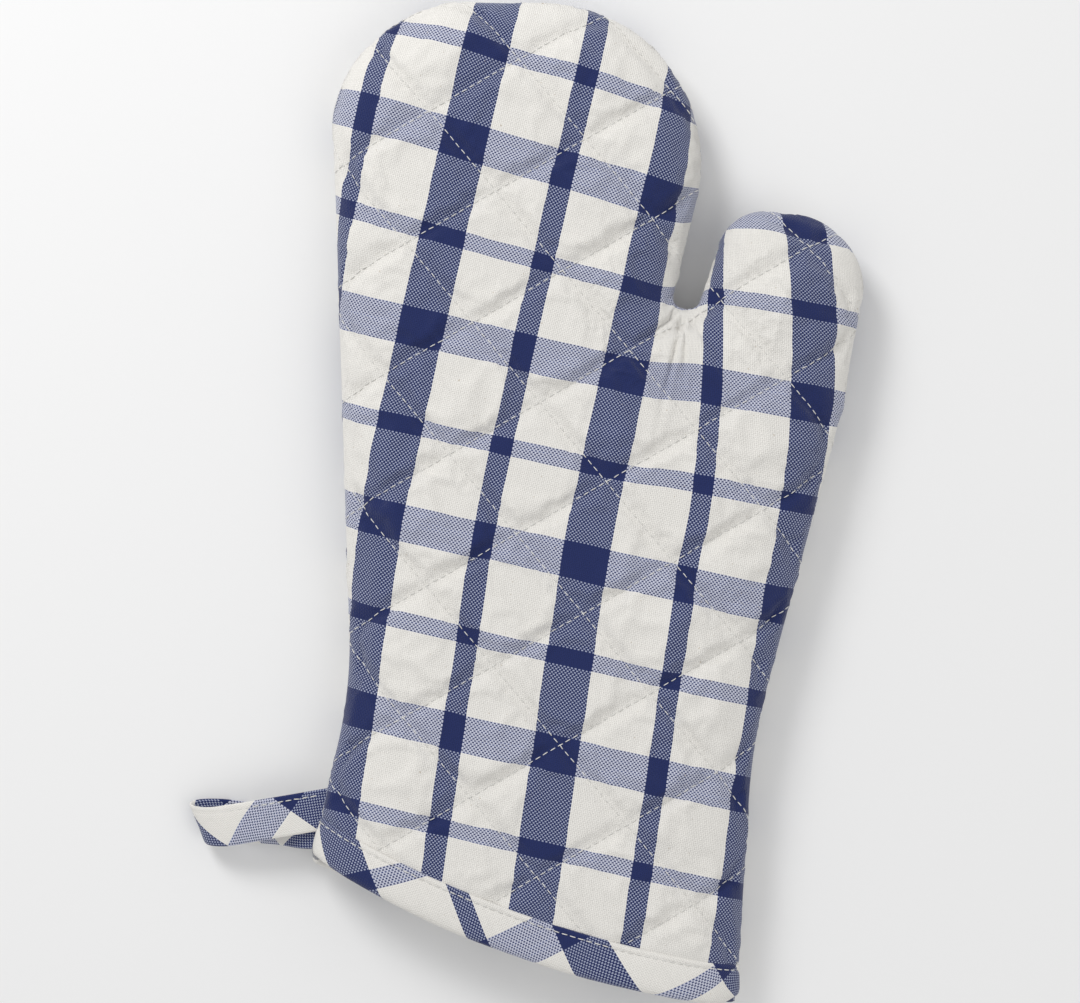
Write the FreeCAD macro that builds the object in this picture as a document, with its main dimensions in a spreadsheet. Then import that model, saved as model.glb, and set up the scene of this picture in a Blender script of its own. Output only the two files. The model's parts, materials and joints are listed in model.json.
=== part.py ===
"""Quilted oven mitt, lying flat on its back panel, as a parametric FreeCAD document.

Frame: +Z up, +Y from the cuff towards the fingertips, +X towards the thumb. The origin is on the
resting plane, under the middle of the palm. Lengths are in millimetres and angles in degrees.

The mitt is two quilted panels sewn together round the edge and turned right side out, so the seam
allowances lie inside. Every surface of a panel is the outside of the mitt moved inwards by some depth,
so the layers are differences of nested rounded blocks, cut into a front and a back half at the seam.
"""

import FreeCAD, Part
import Sketcher
import math
import os

DOC = FreeCAD.newDocument("oven_mitt")
SHEET = DOC.addObject("Spreadsheet::Sheet", "dims")

# The outline seen from above: corners of a polygon, in order round the mitt, each rounded to a radius.
# The two cuff corners lie beyond the mouth, which is cut off square to the mouth's own slant.
CORNERS = {
    "cuff_left": (-63, -200, 15),
    "wrist_left": (-56, -80, 150),
    "tip_left": (-104.5, 152, 47),
    "tip_right": (36.5, 174, 55),
    "crotch_left": (29.5, 68.5, 3.9),
    "crotch_right": (38.5, 68.5, 3.9),
    "thumb_tip_left": (45, 106, 17),
    "thumb_tip_right": (93.7, 107.5, 26),
    "thumb_base": (93.7, 43, 100),
    "wrist_right": (83.3, -74, 200),
    "cuff_right": (97.5, -200, 15),
}

SIZES = {
    "thickness": 26.0,  # of the whole mitt, lying flat
    "edge_radius": 11.0,  # the soft rounding over the seamed edge
    "cloth": 0.6,  # one ply of cotton
    "panel": 4.4,  # outer cloth, batting and lining together
    "allowance": 7.0,  # seam allowance turned inside
    "mouth_y": -150.5,  # where the mouth crosses X = mouth_x
    "mouth_x": 17.0,
    "mouth_slant": -9.5,
    "binding_width": 14.0,
    "jog": 1.5,  # where the panels thin out beside the binding
    "thread": 0.5,
    "thread_depth": 0.3,
    "quilt_angle": 40.0,  # of the quilting lines, up to each side from the mitt's width
    "quilt_spacing": 34.9,
    "quilt_shift_left": 15.4,  # of the lines that run up to the left, from the origin
    "quilt_shift_right": -7.7,  # of the lines that run up to the right
    "quilt_reach": 230.0,  # farther from the origin than any quilting line
    "topstitch_inset": 2.0,
    "seam_inset": 1.0,  # of the side seam's thread from the inner side wall
    "loop_root_y": -126.0,  # where the loop leaves the side seam
    "loop_turn": 15.5,  # how far the loop turns towards the cuff from straight out
    "loop_reach": 34.0,  # from the swing axis to the centre of the far bend
    "loop_width": 14.0,
    "strip": 1.8,  # bias strip, folded to four plies
    "loop_bend": 4.0,  # inside radius of the far bend
    "loop_neck": 0.4,  # inside radius where the two runs part
    "loop_neck_at": 9.0,
    "loop_end_length": 13.0,  # of the strip from beside its swing axis to its raw ends
    "loop_gap": 0.5,  # kept between the loop's root and the side of the mitt
    "reach": 500.0,  # size of the blocks that cut the model into zones
}


def fill_sheet():
    """Writes every driving dimension into the spreadsheet, with its name as alias."""
    rows = dict(SIZES)
    for name, (x, y, radius) in CORNERS.items():
        rows.update({name + "_x": x, name + "_y": y, name + "_radius": radius})
    for row, (name, value) in enumerate(rows.items(), start=1):
        SHEET.set(f"A{row}", name)
        SHEET.set(f"B{row}", repr(value))
        SHEET.setAlias(f"B{row}", name)
    DOC.recompute()


def size(name):
    return float(getattr(SHEET, name))


def bind(obj, **expressions):
    """Binds properties of a document object to expressions over the sheet's aliases."""
    for prop, expression in expressions.items():
        obj.setExpression(prop.replace("__", "."), expression)


# ---- sketches ----------------------------------------------------------------------------------


def vector(x, y, z=0.0):
    return FreeCAD.Vector(x, y, z)


def rounded_corner(before, corner, after, radius):
    """Tangent points, arc centre and turn (1 left, -1 right) where a polygon's corner is rounded."""
    along, onward = (corner - before).normalize(), (after - corner).normalize()
    angle = along.getAngle(onward)
    left = 1 if along.cross(onward).z > 0 else -1
    reach = radius * math.tan(angle / 2)
    first, last = corner - along * reach, corner + onward * reach
    centre = first + vector(-along.y, along.x) * (radius * left)
    return first, last, centre, left


def outline_sketch():
    """The mitt's outline: straight runs joined by tangent arcs, every corner bound to the sheet."""
    sketch = DOC.addObject("Sketcher::SketchObject", "outline")
    names = list(CORNERS)
    count = len(names)
    points = [vector(size(n + "_x"), size(n + "_y")) for n in names]
    radii = [size(n + "_radius") for n in names]
    rounds = [
        rounded_corner(points[i - 1], points[i], points[(i + 1) % count], radii[i])
        for i in range(count)
    ]
    geometry = []
    for i in range(count):
        first, last, centre, left = rounds[i]
        start, end = (first, last) if left > 0 else (last, first)
        circle = Part.Circle(centre, vector(0, 0, 1), radii[i])
        angles = [math.atan2(p.y - centre.y, p.x - centre.x) for p in (start, end)]
        geometry.append(Part.ArcOfCircle(circle, *angles))
        geometry.append(Part.LineSegment(last, rounds[(i + 1) % count][0]))
    sketch.addGeometry(geometry, False)
    marks = [sketch.addGeometry(Part.Point(p), True) for p in points]
    for i, name in enumerate(names):
        arc, line, line_before = 2 * i, 2 * i + 1, (2 * i - 1) % (2 * count)
        entry, leave = (1, 2) if rounds[i][3] > 0 else (2, 1)
        sketch.addConstraint(Sketcher.Constraint("Tangent", line_before, 2, arc, entry))
        sketch.addConstraint(Sketcher.Constraint("Tangent", arc, leave, line, 1))
        for mark in (marks[i], marks[(i + 1) % count]):
            sketch.addConstraint(Sketcher.Constraint("PointOnObject", mark, 1, line))
        driven = {
            "_x": Sketcher.Constraint("DistanceX", marks[i], 1, points[i].x),
            "_y": Sketcher.Constraint("DistanceY", marks[i], 1, points[i].y),
            "_radius": Sketcher.Constraint("Radius", arc, radii[i]),
        }
        for suffix, constraint in driven.items():
            sketch.renameConstraint(sketch.addConstraint(constraint), name + suffix)
            sketch.setExpression("Constraints." + name + suffix, "dims." + name + suffix)
    DOC.recompute()
    return sketch



def capsule_sketch(body, name, near, near_radius, far, far_radius):
    """A long shape with two round ends of different size on the sketch's X axis, bound to the sheet."""
    sketch = body.newObject("Sketcher::SketchObject", name)
    plane = [f for f in body.Origin.OriginFeatures if f.Role == "XZ_Plane"][0]
    sketch.AttachmentSupport = (plane, "")
    sketch.MapMode = "FlatFace"
    x0, r0, x1, r1 = (value(e) for e in (near, near_radius, far, far_radius))
    tilt = math.pi / 2 + math.asin((r1 - r0) / (x1 - x0))
    normal = vector(0, 0, 1)
    ends = ((x0, r0, tilt, -tilt), (x1, r1, -tilt, tilt))
    arcs = [Part.ArcOfCircle(Part.Circle(vector(x, 0), normal, r), a, b) for x, r, a, b in ends]
    top = Part.LineSegment(arcs[1].EndPoint, arcs[0].StartPoint)
    bottom = Part.LineSegment(arcs[0].EndPoint, arcs[1].StartPoint)
    sketch.addGeometry(arcs + [top, bottom], False)
    for first, first_end, second, second_end in ((1, 2, 2, 1), (2, 2, 0, 1), (0, 2, 3, 1), (3, 2, 1, 1)):
        sketch.addConstraint(Sketcher.Constraint("Tangent", first, first_end, second, second_end))
    driven = {
        "near": (Sketcher.Constraint("DistanceX", 0, 3, x0), near),
        "far": (Sketcher.Constraint("DistanceX", 1, 3, x1), far),
        "near_radius": (Sketcher.Constraint("Radius", 0, r0), near_radius),
        "far_radius": (Sketcher.Constraint("Radius", 1, r1), far_radius),
    }
    for label, (constraint, expression) in driven.items():
        sketch.renameConstraint(sketch.addConstraint(constraint), label)
        sketch.setExpression("Constraints." + label, expression)
    for arc in (0, 1):
        sketch.addConstraint(Sketcher.Constraint("PointOnObject", arc, 3, -1))
    return sketch


# ---- solids ------------------------------------------------------------------------------------


def value(expression):
    """What an expression over the sheet comes to, in millimetres."""
    return float(SHEET.evalExpression(expression.replace("dims.", "")))


def extrusion(name, profile, low, high):
    """The profile as a prism between two heights, each an expression over the sheet."""
    prism = DOC.addObject("Part::Extrusion", name)
    prism.Base = profile
    prism.DirMode = "Custom"
    prism.Dir = vector(0, 0, 1)
    prism.Solid = True
    bind(prism, LengthFwd=f"{high} - ({low})", Placement__Base__z=low)
    return prism


def inset_outline(depth):
    """The outline moved inwards by depth, an expression over the sheet."""
    inset = DOC.addObject("Part::Offset2D", "inset_outline")
    inset.Source = OUTLINE
    bind(inset, Value=f"-({depth})")
    return inset


def block(depth):
    """The whole mitt as one rounded solid, its surface moved inwards by depth."""
    profile = inset_outline(depth) if value(depth) else OUTLINE
    slab = extrusion("slab", profile, depth, f"dims.thickness - ({depth})")
    DOC.recompute()
    rounded = DOC.addObject("Part::Fillet", "block")
    rounded.Base = slab
    radius = value(f"dims.edge_radius - ({depth})")
    flat = [i for i, e in enumerate(slab.Shape.Edges, start=1) if e.BoundBox.ZLength < radius / 10]
    rounded.Edges = [(i, radius, radius) for i in flat]
    return rounded


def boolean(kind, base, tool):
    """A Part::Cut, Part::Common or Part::Fuse of two objects."""
    made = DOC.addObject("Part::" + kind, kind.lower())
    made.Base = base
    made.Tool = tool
    return made


def cut(base, tool):
    return boolean("Cut", base, tool)


def common(base, tool):
    return boolean("Common", base, tool)


def fuse(base, tool):
    return boolean("Fuse", base, tool)


def box(name, placement, length, width, height):
    """A box whose sizes are expressions over the sheet."""
    made = DOC.addObject("Part::Box", name)
    bind(made, Length=length, Width=width, Height=height)
    made.Placement = placement
    return made


def mouth_zone(low, high=None):
    """The space between two distances above the mouth, or all of it above the first."""
    turn = FreeCAD.Rotation(vector(0, 0, 1), size("mouth_slant"))
    half = size("reach") / 2
    corner = vector(size("mouth_x"), size("mouth_y")) + turn.multVec(vector(-half, value(low), -half))
    width = f"{high} - ({low})" if high else "dims.reach"
    return box("mouth_zone", FreeCAD.Placement(corner, turn), "dims.reach", width, "dims.reach")


def height_zone(low, high):
    """The space between two heights."""
    half = size("reach") / 2
    place = FreeCAD.Placement(vector(-half, -half, value(low)), FreeCAD.Rotation())
    return box("height_zone", place, "dims.reach", "dims.reach", f"{high} - ({low})")


def thread_lattice():
    """The quilting lines of both families, as upright slabs one thread thick."""
    slabs = []
    half = size("reach") / 2
    count = math.ceil(size("quilt_reach") / size("quilt_spacing"))
    for lean, shift in (("-", "left"), ("", "right")):
        turn = FreeCAD.Rotation(vector(0, 0, 1), value(lean + "dims.quilt_angle"))
        for i in range(-count, count + 1):
            across = value(f"dims.quilt_shift_{shift} + {i} * dims.quilt_spacing - dims.thread / 2")
            corner = turn.multVec(vector(-half, across, -half))
            place = FreeCAD.Placement(corner, turn)
            slabs.append(box("quilt_line", place, "dims.reach", "dims.thread", "dims.reach"))
    lattice = DOC.addObject("Part::MultiFuse", "lattice")
    lattice.Shapes = slabs
    return lattice


def allowance(half_height):
    """The seam allowances: a ledge inside the edge, up to half_height to each side of the seam."""
    low, high = f"{SEAM} - ({half_height})", f"{SEAM} + {half_height}"
    ring = extrusion("ring", OUTLINE, low, high)
    hole = extrusion("hole", inset_outline("dims.panel + dims.allowance"), low, high)
    return common(cut(ring, hole), mouth_zone("dims.binding_width"))


def stepped(deep, shallow, zone):
    """The inside of one layer boundary: shallow within the zone and deep elsewhere."""
    return fuse(BLOCKS[deep], common(BLOCKS[shallow], zone))


# ---- the loop ----------------------------------------------------------------------------------


def loop_axes():
    """The loop's root on its swing axis, and its turn about Z, clear of the mitt's side."""
    wrist, cuff = (vector(size(n + "_x"), size(n + "_y")) for n in ("wrist_left", "cuff_left"))
    side = (cuff - wrist).normalize()
    turn = FreeCAD.Rotation(vector(0, 0, 1), 180 + size("loop_turn"))
    skew = abs(turn.multVec(vector(1, 0)).dot(side))
    stand_off = size("strip") + size("loop_gap") + size("loop_width") / 2 * skew
    on_side = wrist + side * ((size("loop_root_y") - wrist.y) / side.y)
    outward = vector(side.y, -side.x)
    return on_side + outward * stand_off + vector(0, 0, value(SEAM)), turn


def capsule(name, near, near_radius, far, far_radius, width, aside="0"):
    """A body of the loop's own: a long shape with round ends, drooping until its far end rests."""
    body = DOC.addObject("PartDesign::Body", name)
    sketch = capsule_sketch(body, name + "_sketch", near, near_radius, far, far_radius)
    bind(sketch, AttachmentOffset__Base__z=aside)
    pad = body.newObject("PartDesign::Pad", name + "_pad")
    pad.Profile = sketch
    pad.Midplane = True
    bind(pad, Length=width)
    root, turn = loop_axes()
    drop = value(f"{SEAM} - dims.loop_bend - dims.strip")
    droop = FreeCAD.Rotation(vector(0, 1, 0), math.degrees(math.asin(drop / size("loop_reach"))))
    body.Placement = FreeCAD.Placement(root, turn * droop)
    return body


def loop_shell(name, shrink, width, aside="0"):
    """The loop's outside, made smaller by shrink, over a width that may lie to one side."""
    radii = (f"dims.strip - {shrink}", f"dims.loop_bend + dims.strip - {shrink}")
    return capsule(name, "0", radii[0], "dims.loop_reach", radii[1], width, aside)


def make_loop():
    """The folded strip that forms the loop, and the stitching along its closed edge."""
    aside = "dims.loop_width / 2 - dims.topstitch_inset"
    outer_ring = loop_shell("stitch_outside", "0", "dims.thread", aside)
    inner_ring = loop_shell("stitch_inside", "dims.thread_depth", "dims.thread", aside)
    stitch = cut(outer_ring, inner_ring)
    blank = loop_shell("loop_outside", "0", "dims.loop_width")
    eye = capsule("loop_eye", "dims.loop_neck_at", "dims.loop_neck", "dims.loop_reach",
                  "dims.loop_bend", "2 * dims.loop_width")
    return cut(cut(blank, eye), stitch), stitch


def make_loop_ends():
    """The strip's two ends, one on the other, from just outside the mitt's side into its seam."""
    root, turn = loop_axes()
    inner = value("-(dims.strip + dims.loop_gap + dims.loop_end_length)")
    corner = root + turn.multVec(vector(inner, -size("loop_width") / 2, -size("strip")))
    place = FreeCAD.Placement(corner, turn)
    return box("loop_ends", place, "dims.loop_end_length", "dims.loop_width", "2 * dims.strip")


# ---- the mitt ----------------------------------------------------------------------------------


def make_quilting():
    """The quilting thread of both panels, inlaid in the outer cloth above the binding."""
    inlay = cut(BLOCKS[OUTSIDE], BLOCKS[INLAY])
    lines = common(inlay, thread_lattice())
    return common(lines, mouth_zone("dims.binding_width + dims.jog"))


def make_layers(quilting, loop_ends):
    """Outer cloth, batting and lining, each still going right round the mitt."""
    above_binding = mouth_zone("dims.binding_width")
    above_jog = mouth_zone("dims.binding_width + dims.jog")
    below_jog = mouth_zone("-dims.reach / 2", "dims.binding_width + dims.jog")
    below_binding = mouth_zone("-dims.reach / 2", "dims.binding_width")
    boundaries = [
        stepped(CLOTH, OUTSIDE, above_binding),
        cut(stepped(TWO_CLOTHS, CLOTH, above_jog), allowance("dims.cloth")),
        cut(stepped(TO_LINING, TO_BOUND_LINING, below_jog), allowance("dims.panel - dims.cloth")),
        cut(stepped(INSIDE, TO_LINING, below_binding), allowance("dims.panel")),
    ]
    raw_edge = mouth_zone("dims.cloth")
    layers = {}
    for i, name in enumerate(("outer_fabric", "batting", "lining")):
        layer = common(cut(boundaries[i], boundaries[i + 1]), raw_edge)
        layers[name] = cut(layer, loop_ends)
    layers["outer_fabric"] = cut(layers["outer_fabric"], quilting)
    return layers


def make_binding(loop_ends, topstitch):
    """The strip folded over the raw edges of the mouth, inside and out."""
    band = common(BLOCKS[OUTSIDE], mouth_zone("0", "dims.binding_width"))
    panels = common(cut(BLOCKS[CLOTH], BLOCKS[TO_LINING]), mouth_zone("dims.cloth"))
    return cut(cut(cut(cut(band, BLOCKS[INSIDE]), panels), loop_ends), topstitch)


def make_topstitch(loop_ends):
    """The thread that holds the binding, inlaid near its upper edge."""
    high = "dims.binding_width - dims.topstitch_inset"
    inlay = cut(BLOCKS[OUTSIDE], BLOCKS[INLAY])
    return cut(common(inlay, mouth_zone(high + " - dims.thread", high)), loop_ends)


def make_side_seam():
    """The seam's thread, where it shows on the inner faces of both seam allowances."""
    outer = inset_outline("dims.panel + dims.seam_inset")
    inner = inset_outline("dims.panel + dims.seam_inset + dims.thread")
    rows = []
    for low in (f"{SEAM} + dims.panel", f"{SEAM} - dims.panel - dims.thread_depth"):
        high = f"{low} + dims.thread_depth"
        rows.append(cut(extrusion("row", outer, low, high), extrusion("hole", inner, low, high)))
    return common(fuse(*rows), mouth_zone("dims.binding_width + dims.jog"))


def build():
    """Every piece by name, ready to be written."""
    loop, loop_stitch = make_loop()
    loop_ends = make_loop_ends()
    quilting = make_quilting()
    topstitch = make_topstitch(loop_ends)
    layers = make_layers(quilting, loop_ends)
    pieces = {
        "cuff_binding": make_binding(loop_ends, topstitch),
        "binding_topstitch": topstitch,
        "side_seam_thread": make_side_seam(),
        "hanging_loop": loop,
        "hanging_loop_ends": loop_ends,
        "loop_edge_stitch": loop_stitch,
    }
    halves = {
        "front": height_zone(SEAM, "dims.reach / 2"),
        "back": height_zone("-dims.reach / 2", SEAM),
    }
    for side, half in halves.items():
        for name, layer in layers.items():
            pieces[side + "_" + name] = common(layer, half)
        pieces[side + "_quilting_thread"] = common(quilting, half)
    return pieces


def write(pieces):
    """Checks the document and every piece, then writes one STEP file for each."""
    for name, piece in pieces.items():
        piece.Label = name
    DOC.recompute()
    for obj in DOC.Objects:
        if "Invalid" in obj.State or "Error" in obj.State:
            raise RuntimeError(f"{obj.Label} did not build: {obj.State}")
    os.makedirs("parts", exist_ok=True)
    for name, piece in pieces.items():
        if piece.Shape.isNull() or not piece.Shape.isValid() or not piece.Shape.Solids:
            raise RuntimeError(f"{name} is not a valid solid")
        piece.Shape.exportStep(f"parts/{name}.step")


# Depths below the outer surface where one layer gives way to the next, as expressions.
OUTSIDE = "0"
INLAY = "dims.thread_depth"
CLOTH = "dims.cloth"
TWO_CLOTHS = "2 * dims.cloth"
TO_BOUND_LINING = "dims.panel - 2 * dims.cloth"
TO_LINING = "dims.panel - dims.cloth"
INSIDE = "dims.panel"

# The height of the side seam, where the two panels meet.
SEAM = "dims.thickness / 2"

fill_sheet()
OUTLINE = outline_sketch()
BLOCKS = {
    depth: block(depth)
    for depth in (OUTSIDE, INLAY, CLOTH, TWO_CLOTHS, TO_BOUND_LINING, TO_LINING, INSIDE)
}
write(build())
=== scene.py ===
"""The visible cloth, stitching, binding and loop of a quilted oven mitt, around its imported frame.

Frame, in metres: +Z up, +Y from the cuff towards the fingertips, +X towards the thumb, the floor at
Z = 0. The mitt lies on its back panel. Each panel is a sandwich of outer cloth, wadding and lining.
All three follow one mesh layout: rings that climb from the side seam over the rounded edge, then
triangles across the middle. A cloth simulation blows the outer cloth up a little between its
quilting lines. The check follows the flat cloth, unrolled over the edge, through a UV map.

Sizes are in millimetres and angles in radians, except where a comment or MM says otherwise.
"""

import json
import math

import bpy
import numpy as np
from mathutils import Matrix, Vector, geometry, kdtree


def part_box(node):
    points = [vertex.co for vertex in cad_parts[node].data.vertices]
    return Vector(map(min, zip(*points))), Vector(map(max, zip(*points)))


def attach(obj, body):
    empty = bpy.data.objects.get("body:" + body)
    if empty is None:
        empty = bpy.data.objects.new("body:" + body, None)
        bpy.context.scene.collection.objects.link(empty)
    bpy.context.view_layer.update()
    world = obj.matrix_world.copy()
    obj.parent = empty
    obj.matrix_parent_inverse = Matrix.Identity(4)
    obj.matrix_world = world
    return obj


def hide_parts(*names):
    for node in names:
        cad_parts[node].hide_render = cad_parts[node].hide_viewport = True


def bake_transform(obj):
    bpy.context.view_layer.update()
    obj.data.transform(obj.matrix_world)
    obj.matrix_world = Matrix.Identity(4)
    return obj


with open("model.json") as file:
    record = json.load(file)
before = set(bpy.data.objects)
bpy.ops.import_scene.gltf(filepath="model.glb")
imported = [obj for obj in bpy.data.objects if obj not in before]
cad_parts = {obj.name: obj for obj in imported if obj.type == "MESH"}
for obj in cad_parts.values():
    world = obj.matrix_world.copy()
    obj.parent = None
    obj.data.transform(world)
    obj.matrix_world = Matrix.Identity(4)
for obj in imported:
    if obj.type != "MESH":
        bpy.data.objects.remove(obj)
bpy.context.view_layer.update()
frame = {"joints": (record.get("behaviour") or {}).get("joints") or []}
MM = 0.001

# ---- driving values, lengths in millimetres ----------------------------------------------------

# The outline's corners with their rounding, clockwise from the left end of the cuff to the right.
# The first and last corner only give the side's direction: the mouth cuts both runs off.
CORNERS = (
    (-63, -200, 0),
    (-56, -80, 150),
    (-104.5, 152, 47),
    (36.5, 174, 55),
    (29.5, 68.5, 3.9),
    (38.5, 68.5, 3.9),
    (45, 106, 17),
    (93.7, 107.5, 26),
    (93.7, 43, 100),
    (83.3, -74, 200),
    (97.5, -200, 0),
)
MOUTH = (17, -150.5)  # a point on its straight line
MOUTH_SLANT = math.radians(-9.5)
BINDING_WIDTH = 12.6
BOW = 7.3  # how far the mouth bulges towards the wrist, halfway across
STEP = 1.6  # of the cloth's mesh
RINGS = 10  # from the side seam up to the flat of the panel
EDGE = 11  # how far in from the outline the rings reach
CROWN = 45  # how far in from the outline a panel is still rising
CLOTH = 0.5
PANEL = 4.4  # outer cloth, wadding and lining
ALLOWANCE = 7
LEDGE_RINGS = 4  # across the seam allowance
SEAM_INSET = 1.4  # from the lining's side wall to the seam's stitches
LEDGE_START = 0.6  # how far inside a layer's side wall its allowance begins
HAIR_GAP = 0.05  # just keeps two surfaces apart
CROTCH = (34, 69)
CROTCH_FINE = 34  # how far round the crotch the mesh is finer
TIGHT = 34  # corners rounded less than this are drawn in half steps
FLOOR_GAP = 0.1
PRESSURE, GROWTH, PUFF_CAP, FRAMES = 8.0, 0.04, 3.0, 18  # of the cloth simulation
QUILT_ANGLE = math.radians(40)
QUILT_SPACING = 34.9
QUILT_SHIFTS = (15.4, -7.7)  # of the lines running up to the left, then up to the right
QUILT_NUMBERS = range(-7, 8)  # enough lines of each family to cover the panel
QUILT_REACH = 230  # how far each line runs from the middle
QUILT_SINK = 1.7  # how far the stitches pull the outer cloth in
QUILT_SPREAD = 3.2  # how wide their groove is, from its bottom
LINING_SINK, LINING_SPREAD = 1.2, 5  # the same on the lining's side
BOUND_SINK = 1.0  # how far the binding squeezes the outer cloth
WARP_PITCH, WEFT_PITCH = 0.627 * MM, 0.644 * MM
WARP_LEAD = 0.5  # how much the warp stands over the weft
WARP_REPEAT, WEFT_REPEAT = 70.6 * MM, 65.8 * MM
STRIPES_AT = (17, -22)  # where a broad warp stripe and a broad weft stripe pass on the front
BACK_SHIFTS = (21, 9)  # of the back's check against the front's
WARP_STRIPES = ((17.65 * MM, 15.5 * MM), (52.95 * MM, 7.1 * MM))  # middle and width
WEFT_STRIPES = ((16.45 * MM, 12.6 * MM), (49.35 * MM, 5.8 * MM))
NATURAL, NAVY, FADED = (0.80, 0.78, 0.74), (0.011, 0.021, 0.104), (0.05, 0.075, 0.21)
CREAM = (0.78, 0.74, 0.66)  # of the lining
SEED_COAT = (0.42, 0.32, 0.2)
# A white thread between blue ones, in a dyed warp stripe and in a dyed weft stripe, painted darker and
# bluer: painted shade and painted blue bounce light from the blue threads round it, with a little real
# blue fuzz over it.
SHADED_WHITE_IN_WARP, SHADED_WHITE_IN_WEFT = (0.35, 0.385, 0.52), (0.55, 0.57, 0.68)
FLECKS = 0.77  # how rare the specks of seed coat are, between 0 and 1
RADIAN = 57.3  # in degrees
# Folds below the crotch: the angle from straight down, in degrees, then depth, length and width.
PINCHES = ((-3, 1.9, 46, 1.0), (9, 1.4, 30, 0.8), (-42, 1.6, 20, 1.1), (38, 1.0, 24, 1.5))
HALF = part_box("front_outer_fabric")[1][2] / MM / 2  # half the mitt's thickness, and the seam's height


# ---- plane geometry, in millimetres -------------------------------------------------------------


def unit(v):
    """Vectors of the same direction, one long."""
    v = np.asarray(v, float)
    return v / np.maximum(np.linalg.norm(v, axis=-1, keepdims=True), 1e-12)


def left_of(v):
    """Plane vectors turned a quarter to the left."""
    return np.stack([-v[..., 1], v[..., 0]], axis=-1)


MOUTH_ALONG = np.array([math.cos(MOUTH_SLANT), math.sin(MOUTH_SLANT)])
MOUTH_UP = left_of(MOUTH_ALONG)


def above_mouth(xy):
    """Distance of points from the mouth's line, positive on the mitt."""
    return (xy - np.array(MOUTH)) @ MOUTH_UP


def outline(step):
    """Points of the mitt's outline from the left end of the mouth to the right, and directions."""
    points, headings = [], []
    for before, corner, after in zip(CORNERS, CORNERS[1:], CORNERS[2:]):
        here, radius = np.array(corner[:2], float), corner[2]
        come, leave = unit(here - np.array(before[:2])), unit(np.array(after[:2]) - here)
        turn = math.atan2(come[0] * leave[1] - come[1] * leave[0], come @ leave)
        side = math.copysign(1, turn)
        start = here - come * radius * math.tan(abs(turn) / 2)
        centre = start + left_of(come) * radius * side
        widest = radius + EDGE if side > 0 else radius
        fine = step / 2 if radius < TIGHT else step
        for angle in np.linspace(0, turn, math.ceil(abs(turn) * widest / fine) + 1):
            heading = come * math.cos(angle) + left_of(come) * math.sin(angle)
            points.append(centre - left_of(heading) * radius * side)
            headings.append(heading)
    first, last = headings[0], headings[-1]
    points.insert(0, points[0] - first * above_mouth(points[0]) / (first @ MOUTH_UP))
    points.append(points[-1] - last * above_mouth(points[-1]) / (last @ MOUTH_UP))
    headings = [first] + headings + [last]
    filled = [(points[0], headings[0])]
    for p, q, heading in zip(points, points[1:], headings[1:]):
        count = max(1, math.ceil(np.linalg.norm(q - p) / step))
        filled += [(p + (q - p) * i / count, heading) for i in range(1, count + 1)]
    return np.array([p for p, _ in filled]), np.array([h for _, h in filled])


OUTLINE, HEADING = outline(STEP)
INWARD = -left_of(HEADING)
RUN = np.concatenate([[0], np.cumsum(np.linalg.norm(np.diff(OUTLINE, axis=0), axis=1))])
MOUTH_WIDTH = np.linalg.norm(OUTLINE[-1] - OUTLINE[0])
SIDE_RUN = 60  # how much of the outline counts as a side, above the mouth and drawn on below it
SLIDE = 25  # how far up from the mouth the sides slide to meet it


def bow(share):
    """How far the mouth bulges past its straight line, at a share of the way across."""
    share = np.clip(share, 0, 1)
    return BOW * 4 * share * (1 - share)


def above_bow(xy):
    """Distance of points from the mouth's bulging edge, positive on the mitt."""
    return above_mouth(xy) + bow((xy - OUTLINE[0]) @ MOUTH_ALONG / MOUTH_WIDTH)


def inset_outline(inset):
    """The outline moved inwards, its two ends slid along the sides so that they stay on the mouth."""
    moved = OUTLINE + INWARD * inset
    for end, along in ((0, RUN), (-1, RUN[-1] - RUN)):
        slip = -above_bow(moved[end]) / (HEADING[end] @ MOUTH_UP)
        fade = np.clip(1 - along / SLIDE, 0, 1)[:, None] ** 2
        moved = moved + HEADING[end] * slip * fade
    return moved


def distance_to(xy, a, b):
    """Distance of points from the nearest of the segments from a to b."""
    nearest = np.full(len(xy), 1e9)
    for p, q in zip(a, b):
        d = q - p
        t = np.clip((xy - p) @ d / max(d @ d, 1e-12), 0, 1)
        nearest = np.minimum(nearest, np.linalg.norm(xy - p - t[:, None] * d, axis=1))
    return nearest


def inside(xy, polygon):
    """Which points lie within a closed polygon."""
    found = np.zeros(len(xy), bool)
    for (x0, y0), (x1, y1) in zip(polygon, np.roll(polygon, -1, axis=0)):
        crosses = (y0 > xy[:, 1]) != (y1 > xy[:, 1])
        if crosses.any():
            at = x0 + (xy[:, 1] - y0) * (x1 - x0) / (y1 - y0 + 1e-12)
            found ^= crosses & (xy[:, 0] < at)
    return found


def quilt_frames():
    """Normal, direction and shift of each family of quilting lines."""
    for lean, shift in zip((-1, 1), QUILT_SHIFTS):
        angle = lean * QUILT_ANGLE
        normal = np.array([-math.sin(angle), math.cos(angle)])
        yield normal, np.array([math.cos(angle), math.sin(angle)]), shift


def to_quilting(flat):
    """Distance of points of the flat cloth from the nearest quilting line."""
    nearest = np.full(len(flat), 1e9)
    for normal, _, shift in quilt_frames():
        across = (flat @ normal - shift) / QUILT_SPACING
        nearest = np.minimum(nearest, np.abs(across - np.round(across)) * QUILT_SPACING)
    return nearest


def smooth(t):
    """An even step from 0 to 1."""
    t = np.clip(t, 0, 1)
    return t * t * (3 - 2 * t)


def crown(inset):
    """A panel's height above the side seam, at a distance in from the outline."""
    rise = 1 - np.clip(inset / CROWN, 0, 1)
    return HALF * np.sqrt(1 - rise**3)


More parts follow.
